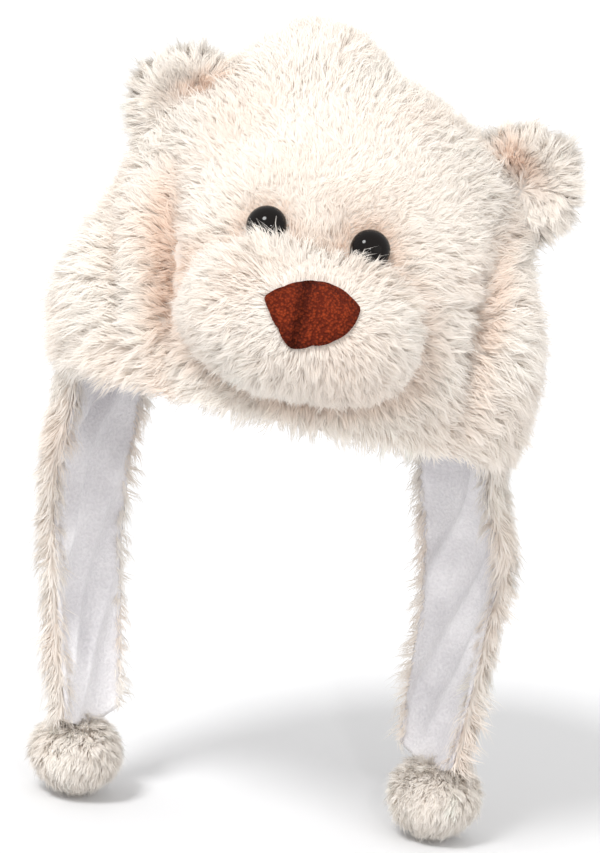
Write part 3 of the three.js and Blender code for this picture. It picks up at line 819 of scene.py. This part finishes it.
def noseBody(u, v):
    angle, tilt = u * whole, v * math.pi
    radius = noseSizes["margin"] * noseRadius(angle) * np.abs(np.sin(tilt)) ** noseSizes["edge"]
    x, z = noseSeat[0] + radius * np.cos(angle), noseSeat[2] + radius * np.sin(angle)
    power = muzzleSizes["fullness"]
    shares = (np.abs(x - muzzleMiddle[0]) / muzzleHalf[0]) ** power
    shares = shares + (np.abs(z - muzzleMiddle[2]) / muzzleHalf[2]) ** power
    front = muzzleMiddle[1] - muzzleHalf[1] * np.maximum(1 - shares, 0) ** (1 / power)
    puff = np.where(np.cos(tilt) > 0, noseSizes["puff"], noseSizes["sunk"])
    puff = puff * signedPower(np.cos(tilt), noseSizes["roundness"])
    crease = np.exp(-((x - noseSeat[0] - noseSizes["creaseShift"]) / noseSizes["creaseWidth"]) ** 2)
    puff = puff - noseSizes["creaseDepth"] * crease * smooth(0, 0.6, np.cos(tilt))
    return np.stack([x, front - puff, z], -1)


nosePad = gridPiece("nosePad", noseBody, noseSizes["grid"], velourLook, "nose", crownTurn)
nosePlaces = np.array([vert.co for vert in nosePad.data.vertices]) / metre @ crownTurn
# The nose's tint is painted shade, darker in the crease and towards the edge where the fur hangs over it
fromCrease = nosePlaces[:, 0] - noseSeat[0] - noseSizes["creaseShift"]
noseShade = 1 - noseSizes["creaseDark"] * np.exp(
    -(fromCrease / (noseSizes["creaseSpread"] * noseSizes["creaseWidth"])) ** 2)
noseShade = noseShade - noseSizes["edgeDark"] * smooth(noseSizes["edgeFrom"], 1.0, noseLevel(nosePlaces))
paint(nosePad.data, np.repeat(noseShade[:, None], 3, 1))


# Eyes

def makeEye(side, name):
    seat = eyeSeats[side]
    across, up = eyeSizes["gaze"]
    outward = unit(np.array([seat[0] * across, seat[1], (seat[2] + crownHeight) * up]))
    spin = Vector((0, 0, 1)).rotation_difference(Vector(outward)).to_matrix()
    radius, dome = eyeSizes["diameter"] / 2, eyeSizes["dome"]
    columns, rows = eyeSizes["segments"]
    shape = bmesh.new()
    bmesh.ops.create_uvsphere(shape, u_segments=columns, v_segments=rows, radius=1)
    for vert in shape.verts:
        place = Vector((vert.co.x * radius, vert.co.y * radius, vert.co.z * dome))
        point = np.array(spin @ place) + seat + outward * dome * eyeSizes["proud"]
        vert.co = crownTurn @ point * metre
    addPiece(name + "Eye", shape, eyeLook, "eye_" + name)


bothSides(makeEye)
print("nose and eyes made")

# Ears

earProfile = np.array([  # ring, front and dish as shares, from the front's middle to the back's
    (0, -0.5, 1), (0.42, -0.5, 0.8), (0.74, -0.5, 0.1), (0.93, -0.34, 0), (1, 0, 0),
    (0.93, 0.34, 0), (0.7, 0.48, 0), (0.38, 0.52, 0), (0, 0.52, 0),
])
earPile = {
    "length": 10.5, "front": -4.5, "frontTo": (0, -3), "ringTo": (0.9, 0.45), "lengthDrift": (0.12, 14, 25),
    # painted warm shade in the hollow at the ear's front: how strong, where and how wide
    "peach": 0.03, "recess": 1.1, "recessAcross": 5.5, "recessUp": 6, "recessLean": 0.5,
    "recessWide": 11, "recessTall": 6,
    "rise": 3.0, "bareInCrown": 0.5, "seed": 300,
    "fur": {"strands": 14000, "lean": 1.12, "droop": 0.05, "lockPull": 0.3},
}


def seatOnCrown(points, sunk):
    away = points - crownMiddle
    depth = outsideCrown(points)
    shift = np.where(depth < -sunk, (-sunk - depth) * lengthOf(away)[..., 0] / outerWidth, 0.0)
    return points + unit(away) * shift[..., None]


def makeEar(side, name):
    middle, turn = earMiddles[side], turnAbout("z", side * earSizes["turn"])

    def skin(u, v):
        at = v * (len(earProfile) - 1)
        ring, front, dish = (np.interp(at, np.arange(len(earProfile)), column) for column in earProfile.T)
        radius = ring * (earSizes["diameter"] / 2 - earSizes["sunk"])
        y = front * (earSizes["thickness"] - 2 * earSizes["sunk"]) + dish * earSizes["dish"]
        return np.stack([radius * np.cos(u * whole), y, radius * np.sin(u * whole)], -1) @ turn.T + middle

    def body(u, v):
        return seatOnCrown(skin(u, v), earSizes["inCrown"])

    def comb(points):
        return points - middle + np.array([0, 0, earPile["rise"]])

    def keep(points):
        return np.where(outsideCrown(points) < earPile["bareInCrown"], 0.0, 1.0)

    def reach(points):
        local = (points - middle) @ turn
        ring = np.hypot(local[..., 0], local[..., 2]) / (earSizes["diameter"] / 2)
        front = zone(earPile, "frontTo", local[..., 1]) * zone(earPile, "ringTo", ring)
        return (earPile["length"] + earPile["front"] * front) * (1 + uneven(points, earPile["lengthDrift"]))

    # painted warm shade in the hollow at the ear's front, on a faint even tint
    def heat(points):
        local = (points - middle) @ turn
        across = local[..., 0] + earPile["recessAcross"] * side
        up = local[..., 2] - earPile["recessUp"] + side * local[..., 0] * earPile["recessLean"]
        inside = np.exp(-(across / earPile["recessWide"]) ** 2 - (up / earPile["recessTall"]) ** 2)
        return earPile["peach"] + earPile["recess"] * zone(earPile, "frontTo", local[..., 1]) * inside

    pad = gridPiece(name + "EarPad", body, earSizes["grid"], plushLook, "ear_" + name,
                    crownTurn)
    paintPlain(pad)
    growFur(name + "EarFur", skin, (0, 1), (0.0, 1.0), middle, comb, reach, heat, keep,
            {**earPile["fur"], "seed": earPile["seed"] + 10 * side}, crownTurn)


bothSides(makeEar)
print("ears made")

# Flaps

flapSizes = {
    "front": 13, "back": 46, "width": 55, "length": 193, "plush": 6, "sunk": 3,
    "share": 0.975, "rounded": 0.035,  # how much of the length is drawn, and how round the end is
    "swingEarly": 0.6, "hangsBy": 0.42,
    "foldDepth": 9, "foldWidth": 0.2, "foldLean": 3.0, "foldAcross": 0.9,
    "folds": [(-0.3, 0.9), (0.7, 0.8), (1.7, 0.5), (2.5, 0.4)],  # soft folds of the lining
    "calmAcross": (1.0, 0.7), "calmAlong": (1.0, 0.85),
    "grid": (64, 62), "liningGrid": (72, 72), "rows": 60, "liningRows": 70,
    "flatWidth": 1.6, "sewnIn": 8, "flatShare": 0.72,  # the flat cloth, before it is sewn and hung
}
flapHang = {
    1: {"endAcross": -0.04, "endBack": -0.14, "bow": 0.32, "swing": 0.12, "at": [0, 0.3, 0.6, 1],
        "width": [1.6, 1.18, 0.92, 0.75], "face": [18, 35, 35, 36], "curl": [60, 54, 48, 60]},
    -1: {"endAcross": 0.32, "endBack": -0.12, "bow": 0.1, "swing": 0.11, "at": [0, 0.3, 0.6, 1],
         "width": [1.6, 1.16, 0.9, 0.7], "face": [18, 28, 32, 36], "curl": [60, 56, 54, 62]},
}
flapPile = {
    "length": 9.5, "lengthDrift": (0.12, 25, 35), "peach": 0.1, "peachDrift": (0.15, 30, 39),
    "sideways": 0.6, "bareAtEnd": 9, "axis": -40.0, "seed": 400,
    "around": (-0.035, 0.535), "along": (0.02, 0.99),
    "fur": {"strands": 20000, "lean": 0.95, "droop": 0.1},
}
flapInside = crownSizes["lining"] + crownSizes["gap"]
flapOutside = flapInside + flapSizes["plush"]


def between(hang, along, column):
    at = np.array(hang["at"])
    values = np.array(hang[column], float)
    step = np.clip(np.searchsorted(at, along, side="left"), 1, len(at) - 1)
    share = smooth(0, 1, (along - at[step - 1]) / (at[step] - at[step - 1]))
    return mix(values[step - 1], values[step], share)


def inHat(points):
    moved = points.copy()
    moved[..., 2] -= crownSizes["gap"]
    return moved @ crownTurn.T


flapEndHeight = (domePoint(np.array(-math.pi / 2), np.array(0.0), 0.0) @ crownTurn.T)[2] - flapSizes["length"]


def flapPoint(side, across, along, out):
    hang = flapHang[side]
    middleTurn = (flapSizes["back"] - flapSizes["front"]) / 2
    halfTurn = (flapSizes["back"] + flapSizes["front"]) / 2
    zero = np.zeros_like(along)
    rim = inHat(domePoint(np.radians(side * (90 + middleTurn + across * halfTurn)), zero, out))
    root = inHat(domePoint(np.radians(side * (90 + middleTurn)) + zero, zero, 0.0))
    drop = root[..., 2] - flapEndHeight
    facing = np.radians(between(hang, along, "face"))
    curl = np.radians(between(hang, along, "curl") / 2)
    radius = between(hang, along, "width") * flapSizes["width"] / 2 / curl
    outward = np.stack([side * np.cos(facing), np.sin(facing), zero], -1)
    backward = np.stack([-side * np.sin(facing), np.cos(facing), zero], -1)
    swing = side * hang["swing"] * np.sin(math.pi * along ** flapSizes["swingEarly"])
    bow = hang["bow"] * np.sin(math.pi * along)
    hanging = np.stack([
        root[..., 0] + flapSizes["width"] * (hang["endAcross"] * along + swing),
        root[..., 1] + flapSizes["width"] * (hang["endBack"] * smooth(0, 1, along) + bow),
        root[..., 2] - drop * along,
    ], -1)
    hanging += backward * ((radius + out) * np.sin(curl * across))[..., None]
    hanging += outward * ((radius + out) * np.cos(curl * across) - radius)[..., None]
    rim[..., 2] -= drop * along
    return mix(rim, hanging, smooth(0, flapSizes["hangsBy"], along)[..., None])


# A closed slab about a flap's surface with rounded edges. u runs round it, the first half outside.
def flapSlab(side, u, v, low, high, folds=0.0, rows=flapSizes["rows"]):
    around = u % 1
    half = (high - low) / 2
    edge = half / (flapSizes["width"] / 2)
    wave = np.where(around < 0.5, -1 + 4 * around, 3 - 4 * around) * (1 + edge)
    over = np.clip((np.abs(wave) - 1) / edge, 0, 1)
    above = np.where(around < 0.5, 1.0, -1.0)
    row = v * (rows + 2)
    along = np.clip((row - 1) / rows, 0, 1) * (flapSizes["share"] - flapSizes["rounded"] * wave ** 2)
    capped = (row < 0.5) | (row > rows + 1.5)
    out = (low + high) / 2 + np.where(capped, 0.0, above * half * np.sqrt(1 - over ** 2))
    if folds:
        slant = wave * flapSizes["foldAcross"] - side * along * flapSizes["foldLean"]
        ridge = sum(deep * np.exp(-((slant + side * at) / flapSizes["foldWidth"]) ** 2)
                    for at, deep in flapSizes["folds"])
        calm = zone(flapSizes, "calmAcross", np.abs(wave)) * zone(flapSizes, "calmAlong", along)
        out = out - folds * ridge * calm
    return flapPoint(side, wave, along, out)


def makeFlap(side, name):
    middle = flapPoint(side, np.array(0.0), np.array(0.5), np.array(flapPile["axis"]))

    def plushSlab(u, v):
        return flapSlab(side, u, v, flapInside, flapOutside - flapSizes["sunk"])

    def liningSlab(u, v):
        folds, rows = flapSizes["foldDepth"], flapSizes["liningRows"]
        return flapSlab(side, u, v, 0.0, crownSizes["lining"], folds, rows)

    def comb(points):
        away = points - middle
        away[..., 2] = 0
        return flapPile["sideways"] * unit(away) + down

    def reach(points):
        return flapPile["length"] * (1 + uneven(points, flapPile["lengthDrift"]))

    def heat(points):
        return flapPile["peach"] + uneven(points, flapPile["peachDrift"])

    def keep(points):
        return np.where(points[..., 2] < flapEndHeight + flapPile["bareAtEnd"], 0.0, 1.0)

    backing = gridPiece(name + "FlapBacking", plushSlab, flapSizes["grid"], plushLook,
                        "flap_plush_" + name)
    paintPlain(backing)
    lining = gridPiece(name + "FlapLining", liningSlab, flapSizes["liningGrid"], fleeceLook,
                       "flap_lining_" + name)
    growFur(name + "FlapFur", plushSlab, flapPile["around"], flapPile["along"], middle, comb, reach, heat,
            keep, {**flapPile["fur"], "seed": flapPile["seed"] + 10 * side})


bothSides(makeFlap)
print("flaps made")

# Pompoms

pompomSizes = {"diameter": 38, "height": 31, "sink": 5, "sunk": 0.5, "grid": (48, 24)}
pompomPile = {
    "length": 6.8, "lengthDrift": (0.07, 10, 45), "peach": 0.02, "peachDrift": (0.05, 12, 49),
    "parting": (0, 0.3, 0.9), "stray": (0.15, 14, 61), "seed": 500,
    "fur": {"strands": 18000, "lean": 0.8, "droop": 0.0, "width": 0.42, "lockPull": 0.0, "waver": 0.1},
}


def makePompom(side, name):
    end = flapPoint(side, np.array(0.0), np.array(1.0), np.array((flapOutside + crownSizes["lining"]) / 2))
    middle = end + np.array([0, 0, pompomSizes["sink"] - pompomSizes["height"] / 2])
    parting = middle + np.array(pompomPile["parting"]) * pompomSizes["diameter"] / 2

    def skin(u, v):
        wide = pompomSizes["diameter"] / 2 - pompomSizes["sunk"]
        tall = pompomSizes["height"] / 2 - pompomSizes["sunk"]
        turn, tilt = u * whole, v * math.pi
        return middle + np.stack([
            wide * np.sin(tilt) * np.cos(turn), wide * np.sin(tilt) * np.sin(turn), tall * np.cos(tilt),
        ], -1)

    def comb(points):
        return unit(points - parting) + uneven(points, pompomPile["stray"])[..., None]

    def reach(points):
        return pompomPile["length"] * (1 + uneven(points, pompomPile["lengthDrift"]))

    def heat(points):
        return pompomPile["peach"] + uneven(points, pompomPile["peachDrift"])

    def keep(points):
        return np.ones(points.shape[:-1])

    core = gridPiece(name + "PompomCore", skin, pompomSizes["grid"], plushLook,
                     "pompom_" + name)
    paintPlain(core)
    growFur(name + "PompomFur", skin, (0, 1), (0.0, 1.0), middle, comb, reach, heat, keep,
            {**pompomPile["fur"], "seed": pompomPile["seed"] + 10 * side})


bothSides(makePompom)
print("pompoms made")

# Floor, light and camera

studio = {
    "floorWide": 30.0,
    "floor": {"Base Color": (0.70, 0.70, 0.705, 1), "Roughness": 0.9, "Specular IOR Level": 0.1},
    "pressed": 0.0025,  # how far the lowest strands press on the floor
    "world": 1.0,
    "sunFrom": (-0.55, -0.8, 1.2), "sunPower": 2.25, "sunSoft": 15,  # its size in the sky, as an angle
    "fillPlace": (1.8, -1.6, 0.9), "fillSize": 1.6, "fillPower": 3,
    "sparkPlace": (0.35, -1.9, 0.75), "sparkSize": 0.14, "sparkPower": 6,
}
camera = {
    "lookAt": (-0.007, -0.020, -0.159), "elevation": 12, "roll": 7, "distance": 1.6,
    "lens": 202.1, "sensor": 36, "clip": (0.05, 50),
}
lookAt = Vector(camera["lookAt"])
lowest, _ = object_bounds()
shape = bmesh.new()
bmesh.ops.create_grid(shape, x_segments=1, y_segments=1, size=studio["floorWide"] / 2)
floorMesh = bpy.data.meshes.new("floor")
shape.to_mesh(floorMesh)
shape.free()
floorMesh.transform(Matrix.Translation((0, 0, lowest.z + studio["pressed"])))
floorMesh.materials.append(newMaterial("paleFloor", studio["floor"])[0])
placeObject("floor", floorMesh)


def addLamp(name, kind, power, looking, place=(0, 0, 0), **settings):
    data = bpy.data.lights.new(name, kind)
    data.energy = power
    for key, value in settings.items():
        setattr(data, key, value)
    lamp = placeObject(name, data)
    lamp.location = place
    lamp.rotation_mode = "QUATERNION"
    lamp.rotation_quaternion = looking.to_track_quat("-Z", "Y")


addLamp("keyLight", "SUN", studio["sunPower"], -Vector(studio["sunFrom"]),
        angle=math.radians(studio["sunSoft"]))
for lampName in ("fill", "spark"):
    place = studio[lampName + "Place"]
    addLamp(lampName + "Light", "AREA", studio[lampName + "Power"], lookAt - Vector(place), place,
            shape="DISK", size=studio[lampName + "Size"])
world = bpy.data.worlds.new("softRoom")
bpy.context.scene.world = world
world.use_nodes = True
world.node_tree.nodes["Background"].inputs["Color"].default_value = (1, 1, 1, 1)
world.node_tree.nodes["Background"].inputs["Strength"].default_value = studio["world"]
bpy.context.scene.view_settings.view_transform = "Standard"

lift, roll = math.radians(camera["elevation"]), math.radians(camera["roll"])
forward = Vector((0, math.cos(lift), -math.sin(lift)))
upright = Vector((0, math.sin(lift), math.cos(lift)))
level = Vector((1, 0, 0))
rightward = level * math.cos(roll) + upright * math.sin(roll)
upward = upright * math.cos(roll) - level * math.sin(roll)
lens = bpy.data.cameras.new("photoCamera")
lens.sensor_fit = "HORIZONTAL"
lens.sensor_width = camera["sensor"]
lens.lens = camera["lens"]
lens.clip_start, lens.clip_end = camera["clip"]
viewer = placeObject("photoCamera", lens)
viewer.location = lookAt - forward * camera["distance"]
viewer.rotation_mode = "QUATERNION"
viewer.rotation_quaternion = Matrix(np.array([rightward, upward, -forward]).T.tolist()).to_quaternion()
bpy.context.scene.camera = viewer
print("stage made")
